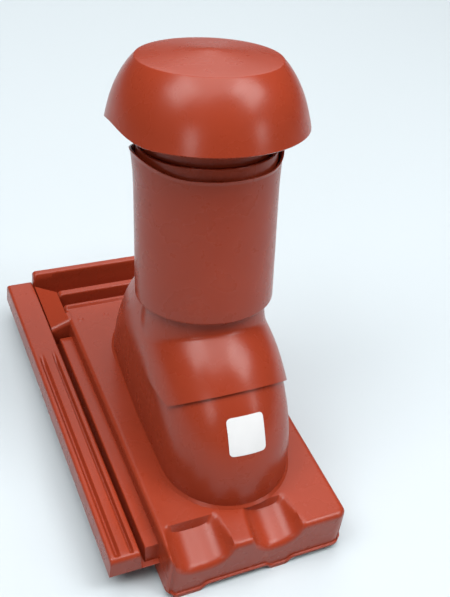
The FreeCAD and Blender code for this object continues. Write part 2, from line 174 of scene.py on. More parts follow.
def moulded_group():
    """Satin moulded plastic: slow mottling, uneven gloss and a fine orange-peel skin."""
    group = bpy.data.node_groups.new("moulded_skin", "ShaderNodeTree")
    for label, kind in (("Colour", "Color"), ("Gloss", "Float"), ("Peel", "Float")):
        group.interface.new_socket(label, in_out="INPUT", socket_type="NodeSocket" + kind)
    for label, kind in (("Colour", "Color"), ("Roughness", "Float"), ("Normal", "Vector")):
        group.interface.new_socket(label, in_out="OUTPUT", socket_type="NodeSocket" + kind)
    add, link = group.nodes.new, group.links.new
    given, out, place = add("NodeGroupInput"), add("NodeGroupOutput"), add("ShaderNodeTexCoord")
    cloud, peel, wipe = (add("ShaderNodeTexNoise") for _ in range(3))
    for node, scale, detail in ((cloud, 14, 4), (peel, 420, 2), (wipe, 45, 5)):
        node.inputs["Scale"].default_value, node.inputs["Detail"].default_value = scale, detail
        link(place.outputs["Object"], node.inputs["Vector"])
    tone, gloss = add("ShaderNodeMapRange"), add("ShaderNodeMapRange")
    for node, noise, middle, swing in ((tone, cloud, 1, MOTTLE), (gloss, wipe, 0, GLOSS_DRIFT)):
        node.inputs["To Min"].default_value = middle - swing
        node.inputs["To Max"].default_value = middle + swing
        link(noise.outputs["Fac"], node.inputs["Value"])
    shade = add("ShaderNodeHueSaturation")
    link(given.outputs["Colour"], shade.inputs["Color"])
    link(tone.outputs["Result"], shade.inputs["Value"])
    rough = add("ShaderNodeMath")
    link(given.outputs["Gloss"], rough.inputs[0])
    link(gloss.outputs["Result"], rough.inputs[1])
    bump = add("ShaderNodeBump")
    bump.inputs["Distance"].default_value = PEEL_DEPTH
    link(given.outputs["Peel"], bump.inputs["Strength"])
    link(peel.outputs["Fac"], bump.inputs["Height"])
    link(shade.outputs["Color"], out.inputs["Colour"])
    link(rough.outputs["Value"], out.inputs["Roughness"])
    link(bump.outputs["Normal"], out.inputs["Normal"])
    return group


moulded = moulded_group()


def plastic(name, colour, gloss, peel):
    """A material of moulded plastic in this colour; gloss is its middle roughness."""
    material = bpy.data.materials.new(name)
    material.use_nodes = True
    tree = material.node_tree
    shader = tree.nodes["Principled BSDF"]
    use = tree.nodes.new("ShaderNodeGroup")
    use.node_tree = moulded
    use.inputs["Colour"].default_value = (*colour, 1)
    use.inputs["Gloss"].default_value, use.inputs["Peel"].default_value = gloss, peel
    shader.inputs["IOR"].default_value = PLASTIC_IOR
    tree.links.new(use.outputs["Colour"], shader.inputs["Base Color"])
    tree.links.new(use.outputs["Roughness"], shader.inputs["Roughness"])
    tree.links.new(use.outputs["Normal"], shader.inputs["Normal"])
    return material


terracotta = plastic("terracotta", TERRACOTTA, gloss=0.28, peel=0.10)


def taper(y):
    """The share of its width that the dome has left at y: its shoulders draw in behind the stack."""
    back = np.clip((y - TAPER_FROM) / (DOME_HUB + DOME_HALF - TAPER_FROM), 0, 1)
    return 1 - TAPER * back * back


def from_spine(x, y):
    """How far a point of the field lies from the dome's spine, with the taper taken out."""
    return np.hypot(x / taper(y), np.maximum(np.abs(y) - DOME_HUB, 0))


def across_step(x):
    return 2.2 if abs(x) < FIELD_HALF - 1 else 5.0


def along_step(y):
    """Fine where the flutes begin, coarse at the head."""
    if FLUTE_BACK - 3.5 < y < FLUTE_BACK + 1:
        return 0.5
    if y < FLUTE_BACK + 14:
        return 1.6
    return 2.6 if y < LEDGE[1] else 5.0


def field_grid():
    """The field's outer face as a grid, and which of its squares the dome leaves standing."""
    across = bend([(LEFT_FOOT, TRIM_Z, 0), (-FIELD_HALF, FIELD_Z, 4), (FIELD_HALF, FIELD_Z, 5),
                   (RIGHT_FOOT, LIP_Z, 0.8), (LIP_EDGE, LIP_Z, 0.5), (LIP_EDGE, TRIM_Z, 0)])
    along = bend([(EAVE_Y - LIP, TRIM_Z, 0), (EAVE_Y - LIP, LIP_Z, 0.5), (EAVE_Y, LIP_Z, 0.8),
                  (EAVE_Y, FIELD_Z, EAVE_ROUND), (LEDGE[0], FIELD_Z, 2), (LEDGE[1], LEDGE_Z, 1.2),
                  (LEDGE[2], LEDGE_Z, 1.2), (LEDGE[3], STEP_Z, 2), (RIB[0], STEP_Z, 2), (RIB[1], RIB_Z, 2),
                  (RIB[2], RIB_Z, 2), (RIB[3], GROOVE_Z, 2), (WALL_FOOT, GROOVE_Z, 2),
                  (WALL_FRONT, WALL_Z, 2.5), (HEAD_Y, WALL_Z, 2.5), (HEAD_Y, TRIM_Z, 0)])
    across, along = divide(across, across_step), divide(along, along_step)
    x, zx = across[:, 0][None, :], across[:, 1][None, :]
    y, zy = along[:, 0][:, None], along[:, 1][:, None]
    z = TRIM_Z + (zy - TRIM_Z) * (zx - TRIM_Z) / (FIELD_Z - TRIM_Z)
    x, y = np.broadcast_to(x, z.shape).copy(), np.broadcast_to(y, z.shape).copy()
    for middle, half in FLUTES:
        left = [(-half - FLUTE_SIDE, FLUTE_TOP, 0), (FLUTE_SIDE - half, FLUTE_Z, FLUTE_ROUND)]
        section = bend(left + [(-u, v, r) for u, v, r in left[::-1]], 12)
        floor = np.interp(x - middle, section[:, 0], section[:, 1]) + (y - FLUTE_BACK) * FLUTE_FALL
        floor = floor - np.where(y < FLUTE_MOUTH, np.clip(FIELD_Z - zy, 0, EAVE_ROUND), 0)
        back_wall = FIELD_Z + (y - FLUTE_BACK) * FLUTE_BACK_SLOPE
        floor = -soft_min(-floor, -back_wall, FLUTE_BACK_SOFT)
        z = np.where(y < FLUTE_START, soft_min(z, floor, FLUTE_RIM_SOFT), z)
    for middle, half in FEET:
        foot = np.clip((half - np.abs(x - middle)) / FOOT_SIDE, 0, 1)
        at_trim = np.clip((TRIM_Z + FOOT_BLEND - zy) / FOOT_BLEND, 0, 1)
        z = z - np.where(y < FOOT_BACK, TRIM_Z * foot * foot * (3 - 2 * foot) * at_trim, 0)
    for ex, ey, r, lip in CORNERS:
        dx, dy = (x - ex) * np.sign(ex) + r, (y - ey) * np.sign(ey) + r
        dx = np.minimum(dx, r) + np.maximum(dx - r, 0) * (1 - (1 - lip) * np.clip(dy / r, 0, 1))
        near, scale = round_off(dx, dy)
        x = np.where(near, ex + ((dx * scale) - r) * np.sign(ex), x)
        y = np.where(near, ey + ((dy * scale) - r) * np.sign(ey), y)
    on_top = z > FIELD_Z - 1
    away = from_spine(x, y)
    snap = (np.abs(away - DOME_HALF) < SNAP) & on_top
    pull = np.where(snap, DOME_HALF / np.maximum(away, TINY), 1)
    wide, reach = x / taper(y), np.maximum(np.abs(y) - DOME_HUB, 0)
    y = np.where(snap & (reach > 0), np.sign(y) * (DOME_HUB + reach * pull), y)
    x = np.where(snap, wide * pull * taper(y), x)
    inside = (from_spine(x, y) < DOME_HALF + SNAP_SLACK) & on_top
    return np.stack([x, y, z], -1), ~all_corners(inside)


grid, open_field = field_grid()
field = skin("tile_field", grid, keep=open_field, thick=SHEET, lip=LIP_Z + 0.5)

# Side lap: the ribbed band that goes under the neighbouring tile, with a drain channel and a
# shelf beside it. It is formed in the same sheet, stops short of the eave and is trimmed higher.
LAP_Z, CHANNEL_Z, SHELF_Z, LAP_TRIM_Z = 44.0, 22.0, 38.0, 21.9
LAP_EDGE, LAP_FOOT, LAP_INNER = -133.0, -133.55, -106.0
CHANNEL, SHELF = (-104.0, -100.0), (-99.0, -84.0)
LAP_EAVE, LAP_EAVE_FOOT = -153.0, -153.2
GROOVES, GROOVE_FLOOR, GROOVE_FLOOR_Z = ((-125.4, 2.8), (-112.6, 1.9)), 0.8, 40.0
GROOVE_RUN, SHELF_RUN = (-149.0, 106.0, 12.0), (-148.0, 134.0, 3.0)
RUN_START = 3.0


def run_out(y, start, end, fade):
    """1 along a groove or shelf, falling to 0 at its start and, over the fade, at its upper end."""
    return np.clip((end - y) / fade, 0, 1) * np.clip((y - start) / RUN_START, 0, 1)


def lap_step(y):
    return 1.5 if y < LAP_EAVE + 13 or y > HEAD_Y - 13 else 4.0


def lap_grid():
    """The band's outer face: its section swept up the slope, with grooves and shelf running out."""
    line = [(LAP_FOOT, LAP_TRIM_Z, 0), (LAP_EDGE, LAP_Z, 2.5)]
    for g, half in GROOVES:
        line += [(g - half, LAP_Z, 1.0), (g - GROOVE_FLOOR, GROOVE_FLOOR_Z, 0.5)]
        line += [(g + GROOVE_FLOOR, GROOVE_FLOOR_Z, 0.5), (g + half, LAP_Z, 1.0)]
    line += [(LAP_INNER, LAP_Z, 2), (CHANNEL[0], CHANNEL_Z, 1.5), (CHANNEL[1], CHANNEL_Z, 0.8)]
    line += [(SHELF[0], SHELF_Z, 1.5), (SHELF[1], SHELF_Z, 0)]
    across = divide(bend(line, 4), 4)
    along = divide(bend([(LAP_EAVE_FOOT, LAP_TRIM_Z, 0), (LAP_EAVE, LAP_Z, 5), (HEAD_Y, LAP_Z, 4),
                         (HEAD_Y, LAP_TRIM_Z, 0)]), lap_step)
    x, z = across[:, 0][None, :], across[:, 1][None, :]
    y, zy = along[:, 0][:, None], along[:, 1][:, None]
    on_band = (x > LAP_EDGE + 3) & (x < LAP_INNER - 1)
    plain = np.where(on_band, LAP_Z, np.where(x > CHANNEL[1] - 1, CHANNEL_Z, z))
    z = plain + (z - plain) * np.where(x < CHANNEL[0], run_out(y, *GROOVE_RUN), run_out(y, *SHELF_RUN))
    z = LAP_TRIM_Z + (zy - LAP_TRIM_Z) * (z - LAP_TRIM_Z) / (LAP_Z - LAP_TRIM_Z)
    x, y = np.broadcast_to(x, z.shape), np.broadcast_to(y, z.shape)
    return np.stack([x, y, z], -1)


SADDLE_X, SADDLE_END, SADDLE_WIDE, SADDLE_SKEW = -105.0, -82.0, 19.0, 25.0
SADDLE_EDGE_SLOPE, SADDLE_SOFT, SADDLE_HIDDEN_Z = 6.0, 2.0, 30.0
SADDLE_MIDDLE = (-94.0, 180.0, LAP_TRIM_Z)
FRONT_Y, FRONT_DROP = (138.0, 138.4, 139.2, 140.6, 142.4, 144.5), (26.0, 4.4, 2.7, 1.2, 0.3, 0.0)
WALL_Y = (WALL_FOOT, WALL_FRONT, 216.5, 221.5, 222.5, HEAD_Y)
WALL_LINE = (GROOVE_Z, 56.6, WALL_Z, WALL_Z, 57.2, 55.5)
WALL_END_R, WALL_BACK, WALL_BACK_PULL = 3.5, HEAD_Y - SHEET, 0.7


def saddle_grid():
    """The slope between field and band past the channel, its skew edge at the head groove, and
    the head wall's end, closed below."""
    x = np.append([SADDLE_X - 0.2, SADDLE_X], np.linspace(SADDLE_X + 1, SADDLE_END, 34))[None, :]
    front = [FRONT_Y[0] - 0.1, *FRONT_Y]
    slope_rows, edge_rows = np.linspace(147, 184, 13), np.linspace(185, 212.5, 56)
    wall_rows, back_rows = np.linspace(WALL_FOOT, 215.5, 6), [216.5, 218, 220, 221.5, 222.5, HEAD_Y, HEAD_Y]
    y = np.concatenate([front, slope_rows, edge_rows, wall_rows, back_rows])[:, None]
    rise = np.clip((x - SADDLE_X) / SADDLE_WIDE, 0, 1)
    slope = LAP_Z + (FIELD_Z - LAP_Z) * rise
    edge = WALL_FOOT - SADDLE_SKEW * rise
    cut = slope - (y - edge) * SADDLE_EDGE_SLOPE
    z = np.maximum(soft_min(slope + 0 * y, cut, SADDLE_SOFT), GROOVE_Z)
    z = z - np.interp(y, FRONT_Y, FRONT_DROP)
    dx = np.clip(WALL_END_R - (x - SADDLE_X), 0, WALL_END_R - 0.1)
    wall = np.interp(y, WALL_Y, WALL_LINE) - (WALL_END_R - np.sqrt(WALL_END_R ** 2 - dx ** 2))
    z = np.where(y >= WALL_FOOT, np.maximum(z, wall), z)
    under_field = (x > -FIELD_HALF - 0.6) & (y > LEDGE[0] - 1) & (y < RIB[3])
    z = np.where(under_field, SADDLE_HIDDEN_Z, z)
    z[:, 0] = SADDLE_HIDDEN_Z
    z[-1] = LAP_TRIM_Z
    behind_field = (x > LEFT_FOOT - 0.5) & (y > WALL_BACK)
    y = np.where(behind_field, WALL_BACK + (y - WALL_BACK) * WALL_BACK_PULL, y)
    top = np.stack([np.broadcast_to(x, z.shape), y + 0 * z, np.maximum(z, LAP_TRIM_Z)], -1)
    around = ((1, 1), (1, 1), (0, 0))
    walls = np.pad(top, around, mode="edge")
    walls[[0, -1], :, 2] = walls[:, [0, -1], 2] = LAP_TRIM_Z
    closed = np.pad(walls, around, mode="edge")
    closed[[0, -1]] = closed[:, [0, -1]] = SADDLE_MIDDLE
    return closed


lap = bake([skin("tile_lap", lap_grid(), thick=SHEET), skin("tile_saddle", saddle_grid())], "tile_lap")

# Dome: a drum with a round crown and flat cheeks, formed in the tile's sheet, open along the
# top below the skirt, with a fine hollow rounding where it springs from the field.
SLOT_HALF, SLOT_FRONT, SLOT_REAR = 57.0, -22.7, 41.0
CHEEK_ROWS, ON_CHEEK = 8, 2.0
COVE, COVE_STEPS, END_STEPS = 2.6, 8, 40


def drum_point(t, turn, grow=0.0):
    """A point of the drum: t goes over the crown from cheek to cheek, turn back about the axis."""
    a = DOME_HALF + grow
    r = DOME_HUB + a * np.cos(t)
    x, y = a * np.sin(t) * taper(r * np.sin(turn)), r * np.sin(turn)
    return np.stack(np.broadcast_arrays(x, y, FIELD_Z + r * np.cos(turn)), -1)


def dome_grid():
    """The drum's outer face from cheek to cheek, and which of its squares the slot leaves."""
    slot_sides = np.degrees(np.arcsin([-SLOT_HALF / DOME_HALF, SLOT_HALF / DOME_HALF]))
    crown = np.radians(np.unique(np.append(np.linspace(-90, 90, 61), slot_sides)))
    turns = np.radians(np.unique(np.append(np.linspace(-90, 90, 91), [SLOT_FRONT, SLOT_REAR])))
    t, turn = np.meshgrid(crown, turns)
    top = drum_point(t, turn)
    rising, falling = np.linspace(0, DOME_HUB, CHEEK_ROWS + 1), np.linspace(DOME_HUB, 0, CHEEK_ROWS + 1)
    cheeks = []
    for side, radii in ((-1, rising[:-1]), (1, falling[1:])):
        for r in radii:
            y = r * np.sin(turns)
            cheeks.append(np.stack([side * DOME_HALF * taper(y), y, FIELD_Z + r * np.cos(turns)], -1))
    left, right = np.stack(cheeks[:CHEEK_ROWS], 1), np.stack(cheeks[CHEEK_ROWS:], 1)
    rows = np.concatenate([left, top, right], 1)
    t_all = np.concatenate([np.full(CHEEK_ROWS, -ON_CHEEK), crown, np.full(CHEEK_ROWS, ON_CHEEK)])
    on_crown = np.abs(t_all) < ON_CHEEK
    centre = (t_all[:-1] + t_all[1:]) / 2
    middle = (turns[:-1] + turns[1:]) / 2
    slot = on_crown[:-1] & on_crown[1:] & (np.abs(np.sin(centre)) * DOME_HALF < SLOT_HALF)
    gap = (middle > math.radians(SLOT_FRONT)) & (middle < math.radians(SLOT_REAR))
    return rows, ~(gap[:, None] & slot[None, :])


def node_tree(name, sizes):
    """A Geometry Nodes tree with a piece and named sizes going in; it ends as real mesh in terracotta."""
    tree = bpy.data.node_groups.new(name, "GeometryNodeTree")
    for label, kind in (("Piece", "Geometry"), *sizes):
        tree.interface.new_socket(label, in_out="INPUT", socket_type="NodeSocket" + kind)
    tree.interface.new_socket("Result", in_out="OUTPUT", socket_type="NodeSocketGeometry")
    add, link = tree.nodes.new, tree.links.new
    given, out = add("NodeGroupInput"), add("NodeGroupOutput")
    real, paint = add("GeometryNodeRealizeInstances"), add("GeometryNodeSetMaterial")
    paint.inputs["Material"].default_value = terracotta
    link(real.outputs["Geometry"], paint.inputs["Geometry"])
    link(paint.outputs["Geometry"], out.inputs["Result"])
    return tree, given.outputs, real.inputs["Geometry"]


def grow(piece, tree, sizes):
    """Runs a tree on a piece with these sizes and keeps the result as a plain mesh."""
    nodes = piece.modifiers.new(tree.name, "NODES")
    nodes.node_group = tree
    for socket in tree.interface.items_tree:
        if socket.name in sizes:
            nodes[socket.identifier] = sizes[socket.name]
    return bake([piece], piece.name)


def times(tree, value, factor):
    """A node that multiplies a value by a fixed factor; gives its result."""
    node = tree.nodes.new("ShaderNodeMath")
    node.operation = "MULTIPLY"
    node.inputs[1].default_value = factor
    tree.links.new(value, node.inputs[0])
    return node.outputs[0]


def cove_tree():
    """A hollow rounding swept along an outline with two straight sides and two half-round ends."""
    sizes = (("Half Width", "Float"), ("Half Length", "Float"), ("Cove", "Float"))
    tree, given, end = node_tree("cove_along_foot", sizes)
    add, link = tree.nodes.new, tree.links.new
    kinds = ("CurvePrimitiveQuadrilateral", "FilletCurve", "SetCurveNormal")
    outline, ends, level = (add("GeometryNode" + kind) for kind in kinds)
    kinds = ("CurveQuadraticBezier", "SetSplineCyclic", "CurveToMesh", "Transform")
    hollow, closed, sweep, place = (add("GeometryNode" + kind) for kind in kinds)
    ends.mode, level.mode = "POLY", "Z_UP"
    ends.inputs["Count"].default_value = END_STEPS
    hollow.inputs["Resolution"].default_value = COVE_STEPS
    hollow.inputs["Middle"].default_value = (0, 0, 0)
    closed.inputs["Cyclic"].default_value = True
    for half, side in (("Half Width", "Width"), ("Half Length", "Height")):
        link(times(tree, given[half], 2), outline.inputs[side])
    up_the_dome = times(tree, given["Cove"], -1)
    for size, axis, point in ((given["Cove"], "X", "Start"), (up_the_dome, "Y", "End")):
        reach = add("ShaderNodeCombineXYZ")
        link(size, reach.inputs[axis])
        link(reach.outputs["Vector"], hollow.inputs[point])
    link(given["Half Width"], ends.inputs["Radius"])
    link(outline.outputs["Curve"], ends.inputs["Curve"])
    link(ends.outputs["Curve"], level.inputs["Curve"])
    link(level.outputs["Curve"], sweep.inputs["Curve"])
    link(hollow.outputs["Curve"], closed.inputs["Geometry"])
    link(closed.outputs["Geometry"], sweep.inputs["Profile Curve"])
    link(sweep.outputs["Mesh"], place.inputs["Geometry"])
    place.inputs["Translation"].default_value = (HOME + (0, 0, FIELD_Z)) * MM
    link(place.outputs["Geometry"], end)
    return tree


grid, closed_dome = dome_grid()
dome = skin("tile_dome", grid, keep=closed_dome, thick=SHEET)
seed = bpy.data.objects.new("tile_cove", bpy.data.meshes.new("tile_cove"))
bpy.context.collection.objects.link(seed)
foot = {"Half Width": DOME_HALF * MM, "Half Length": (DOME_HUB + DOME_HALF) * MM, "Cove": COVE * MM}
cove = grow(seed, cove_tree(), foot)
for corner in cove.data.vertices:
    narrowed = (corner.co.x - HOME[0] * MM) * taper(corner.co.y / MM - HOME[1])
    corner.co.x = HOME[0] * MM + narrowed

# Batten lugs and nail marks: two hooks moulded below the head, which hang the tile on its
# batten, and two faint round pits that show where a nail may go through.
LUG_X, LUG_HALF, LUG_STEP = -50.0, 13.0, 100.0
LUG_SECTION = ((220, 25, 0), (220, 0, 1), (208, 0, 3), (204, 25, 0))
MARK_X, MARK_Y, MARK_STEP = -74.0, 139.5, 28.0
MARK_R, MARK_SUNK = 3.2, -0.9
MARK_LINE = ((MARK_R, -0.1), (2.6, 0.35), (2.0, 0.3), (1.2, -0.3), (0, -0.4), (0, MARK_SUNK),
             (MARK_R, MARK_SUNK), (MARK_R, -0.1))


def row_tree():
    """Copies of a piece side by side."""
    tree, given, end = node_tree("row_of_pieces", (("Count", "Int"), ("Step", "Float")))
    add, link = tree.nodes.new, tree.links.new
    step, line = add("ShaderNodeCombineXYZ"), add("GeometryNodeMeshLine")
    spread = add("GeometryNodeInstanceOnPoints")
    link(given["Step"], step.inputs["X"])
    link(given["Count"], line.inputs["Count"])
    link(step.outputs["Vector"], line.inputs["Offset"])
    link(line.outputs["Mesh"], spread.inputs["Points"])
    link(given["Piece"], spread.inputs["Instance"])
    link(spread.outputs["Instances"], end)
    return tree


def capped(sides):
    """Two like outlines with the middle of each before and after them, so that both ends close."""
    middles = [np.repeat(side.mean(0)[None], len(side), 0) for side in sides]
    return np.array([middles[0], *sides, middles[1]])


in_row = row_tree()
section = bend(LUG_SECTION, 4)
flanks = np.stack([np.insert(section, 0, LUG_X + d, axis=1) for d in (LUG_HALF, -LUG_HALF)])
lug = skin("tile_lugs", capped(flanks), around=True)
lugs = grow(lug, in_row, {"Count": 2, "Step": LUG_STEP * MM})
turn = np.radians(np.arange(0, 360, 15))
rings = [(MARK_X + r * np.cos(turn), MARK_Y + r * np.sin(turn), FIELD_Z + h + 0 * turn) for r, h in MARK_LINE]
mark = skin("tile_marks", np.array(rings).transpose(0, 2, 1), around=True)
marks = grow(mark, in_row, {"Count": 2, "Step": MARK_STEP * MM})
tile = bake([field, lap, dome, cove, lugs, marks], "roof_tile")
tile.data.materials.append(terracotta)
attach(tile, "tile")
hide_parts("base_tile")

# Label: a square white paper sticker with round corners, left blank, glued on the dome's nose
# so that it follows the drum both ways.
LABEL_WIDE, LABEL_TALL, LABEL_CORNER, LABEL_THICK = 17.25, 18.0, 4.0, 0.25
LABEL_TURN, LABEL_SHIFT, LABEL_LIFT = math.radians(-58), 2.0, 0.3
LABEL_WHITE, LABEL_STEPS = (0.68, 0.68, 0.68), 25


def label_grid():
    """The sticker's outer face, laid on the drum."""
    share = np.linspace(-1, 1, LABEL_STEPS)
    a, b = np.meshgrid(share, share)
    x, v = a * LABEL_WIDE, b * LABEL_TALL
    dx, dy = np.abs(x) - LABEL_WIDE + LABEL_CORNER, np.abs(v) - LABEL_TALL + LABEL_CORNER
    near, scale = round_off(dx, dy)
    x = np.where(near, np.sign(x) * (LABEL_WIDE - LABEL_CORNER + dx * scale), x)
    v = np.where(near, np.sign(v) * (LABEL_TALL - LABEL_CORNER + dy * scale), v)
    over = np.arcsin((x - LABEL_SHIFT) / (DOME_HALF + LABEL_LIFT))
    return drum_point(over, LABEL_TURN + v / (DOME_HUB + DOME_HALF), LABEL_LIFT)


label = skin("blank_label", label_grid(), thick=LABEL_THICK)
label.data.materials.append(plastic("label_white", LABEL_WHITE, gloss=0.42, peel=0.02))
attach(label, "tile")
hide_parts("label")

# Swivel skirt: the moulded shell that slides on the dome's crown, with a square-cut front edge,
# level side edges and the neck for the tube rising out of it.
LEAN, FOOT_Y = math.radians(12.7), -23.3
SKIRT_GROW, SKIRT_WALL, SKIRT_EDGE_Z = 3.3, 2.5, 130.0
SKIRT_FRONT, SKIRT_REAR = -42, 46
SHELL_ROWS, SHELL_COLUMNS = 61, 73
NECK_R, NECK_TOP = 54.5, 155.0
NECK_BORE = NECK_R - SKIRT_WALL
NECK_FLARE, NECK_FLARE_FROM, NECK_FLARE_OVER = 3.5, 136.0, 30.0
NECK_FILLET, FILLET_TOP = ((1.8, -0.1), (0.8, 0.25)), 2.0
LOWEST, HIGHEST, HALVINGS = 40.0, 170.0, 40


def on_stack(r, turn, h):
    """A point about the leaning stack axis, h along it from the field."""
    x, y = r * np.cos(turn), r * np.sin(turn)
    y, z = y * math.cos(LEAN) + h * math.sin(LEAN), h * math.cos(LEAN) - y * math.sin(LEAN)
    return np.stack(np.broadcast_arrays(x, y + FOOT_Y, z + FIELD_Z), -1)


def saddle_shell(name, front, rear, edge_z, grow, bore, thick):
    """A shell over the drum from front to rear with level side edges and a round hole for the stack."""
    turns = np.radians(np.linspace(front, rear, SHELL_ROWS))[:, None]
    edge = np.clip(((edge_z - FIELD_Z) / np.cos(turns) - DOME_HUB) / (DOME_HALF + grow), -1, 1)
    t = np.linspace(-1, 1, SHELL_COLUMNS)[None, :] * np.arccos(edge)
    shell = drum_point(t, np.broadcast_to(turns, t.shape), grow)
    along = (shell[..., 1] - FOOT_Y) * math.cos(LEAN) - (shell[..., 2] - FIELD_Z) * math.sin(LEAN)
    in_bore = np.hypot(shell[..., 0], along) < bore
    return skin(name, shell, keep=~all_corners(in_bore), thick=thick)


def over_drum(p, grow):
    """How far a point stands off the drum grown by that much."""
    r = np.hypot(p[..., 1], p[..., 2] - FIELD_Z)
    return np.hypot(p[..., 0] / taper(p[..., 1]), np.maximum(r - DOME_HUB, 0)) - DOME_HALF - grow


def skirt_top(turn, radius):
    """Height along the stack at which a round of that radius comes out of the skirt's shell."""
    low, high = np.full(len(turn), LOWEST), np.full(len(turn), HIGHEST)
    for _ in range(HALVINGS):
        mid = (low + high) / 2
        out = over_drum(on_stack(radius(mid), turn, mid), SKIRT_GROW) > 0
        low, high = np.where(out, low, mid), np.where(out, mid, high)
    return high


def neck_radius(h, more=0.0):
    return NECK_R + more + NECK_FLARE * np.clip((NECK_FLARE_FROM - h) / NECK_FLARE_OVER, 0, 1)


def neck_grid():
    """The neck from its fillet on the shell up to its rim and down its bore, closed below."""
    turn = np.radians(np.arange(0, 360, 3.0))
    foot = skirt_top(turn, neck_radius)
    rows = []
    for more, up in NECK_FILLET:
        h = skirt_top(turn, lambda h: neck_radius(h, more))
        rows.append(on_stack(neck_radius(h, more), turn, h + up))
    rows.append(on_stack(neck_radius(foot, 0.2), turn, foot + FILLET_TOP / 2))
    rows.append(on_stack(neck_radius(foot), turn, foot + FILLET_TOP))
    for share in np.linspace(0.1, 1, 9):
        h = foot + FILLET_TOP + (NECK_TOP - foot - FILLET_TOP) * share
        rows.append(on_stack(neck_radius(h), turn, h))
    bore_foot = skirt_top(turn, lambda h: NECK_BORE) - 1
    rows += [on_stack(NECK_BORE, turn, NECK_TOP), on_stack(NECK_BORE, turn, bore_foot), rows[0]]
    return np.array(rows)


shell = saddle_shell("skirt_shell", SKIRT_FRONT, SKIRT_REAR, SKIRT_EDGE_Z, SKIRT_GROW, NECK_BORE, SKIRT_WALL)
skirt = bake([shell, skin("neck", neck_grid(), around=True)], "skirt")
skirt.data.materials.append(terracotta)
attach(skirt, "stack")
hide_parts("swivel_skirt")

# Weather tube: a wide extruded tube pushed on the neck, with a rounded step at the bottom and a
# thin flared mouth that stands a little higher at its two sides.
ROUND = np.radians(np.arange(0, 360, 2.5))
TUBE_R, TUBE_BORE, TUBE_FOOT, TUBE_FLOOR = 62.5, 60.0, 138.0, 140.5
TUBE_NECK, TUBE_BELL = 266.4, 265.0
FLARE = ((63.6, 269.6, 0.3), (63.1, 270.0, 0.2), (61.9, 269.8, 0.3))
FLARE_SPREAD = 0.3
MOUTH_FROM, MOUTH_BLEND, MOUTH_HALF, MOUTH_RISE = 250.0, 18.0, 54.0, 9.0


def lift(y, half, rise):
    """A soft rise about y = 0 that runs out level at half."""
    return rise * (0.5 + 0.5 * np.cos(math.pi * np.clip(y / half, -1, 1)))


def turned(name, line, raised=None, spread=0.0):
    """A turned piece from a line of (radius, height); raised lifts it round and spread flares the lift."""
    rows = []
    for r, h in line:
        rise = raised(r, h) if raised else 0
        rows.append(on_stack(r + spread * rise, ROUND, h + rise))
    return skin(name, np.array(rows), around=True)


def tube_rise(r, h):
    """The mouth stands up at both sides, and the foot sits on the skirt where the dome rises behind it."""
    if h > MOUTH_FROM:
        return lift(r * np.sin(ROUND), MOUTH_HALF, MOUTH_RISE) * min((h - MOUTH_FROM) / MOUTH_BLEND, 1)
    return np.maximum(skirt_top(ROUND, lambda mid: r) - h, 0)


tube_line = bend([(NECK_R, TUBE_FLOOR, 0), (NECK_R, TUBE_FOOT, 0), (TUBE_R, TUBE_FOOT, 2.5),
                  (TUBE_R, TUBE_NECK, 2), *FLARE, (TUBE_BORE, TUBE_BELL, 2), (TUBE_BORE, TUBE_FLOOR, 0),
                  (NECK_R, TUBE_FLOOR, 0)])
tube = turned("weather_tube", divide(tube_line, 12), tube_rise, FLARE_SPREAD)
tube.data.materials.append(terracotta)
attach(tube, "stack")
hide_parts("outer_tube")

# Collar: a plain moulded ring with rounded upper edges, pushed into the tube's bore; it stands
# out of the mouth and holds the hood.
COLLAR_BORE, COLLAR_FOOT, COLLAR_TOP = 57.5, 247.0, 279.5


def ring_line(bore, radius, low, high, edge):
    """The section of a plain ring with its upper edges rounded."""
    return bend([(bore, low, 0), (radius, low, 0), (radius, high, edge), (bore, high, edge), (bore, low, 0)])


collar = turned("hood_collar", ring_line(COLLAR_BORE, TUBE_BORE, COLLAR_FOOT, COLLAR_TOP, 1))
collar.data.materials.append(terracotta)
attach(collar, "stack")
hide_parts("cap_collar")

# Vent pipe: the plain inner pipe from the spigot below the dome to its mouth in the hood, of a
# darker, duller plastic. A bead stops what is pushed on it, and a flange seats it on the neck.
PIPE_R, PIPE_BORE, PIPE_TOP = 50.0, 47.6, 308.0
SPIGOT_FOOT, SPIGOT_LEAD, SPIGOT_TIP_R = 20.0, 24.0, 48.8
BEAD_LOW, BEAD_HIGH, BEAD_R = 80.0, 82.5, 52.5
FLANGE_TOP = 158.0
INNER_RED = (0.25, 0.034, 0.015)
pipe_line = bend([(PIPE_BORE, PIPE_TOP, 0), (PIPE_BORE, SPIGOT_FOOT, 0), (SPIGOT_TIP_R, SPIGOT_FOOT, 0.4),
                  (PIPE_R, SPIGOT_LEAD, 1), (PIPE_R, BEAD_LOW, 0.5), (BEAD_R, BEAD_LOW, 0.8),
                  (BEAD_R, BEAD_HIGH, 0.8), (PIPE_R, BEAD_HIGH, 0.5), (PIPE_R, NECK_TOP, 0),
                  (NECK_R, NECK_TOP, 0), (NECK_R, FLANGE_TOP, 0.8), (PIPE_R, FLANGE_TOP, 0.4),
                  (PIPE_R, PIPE_TOP, 0.8), (PIPE_BORE, PIPE_TOP, 0)])
pipe = turned("inner_pipe", divide(pipe_line, 16))
inner = plastic("inner_plastic", INNER_RED, gloss=0.45, peel=0.1)
pipe.data.materials.append(inner)
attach(pipe, "stack")
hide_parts("vent_pipe")

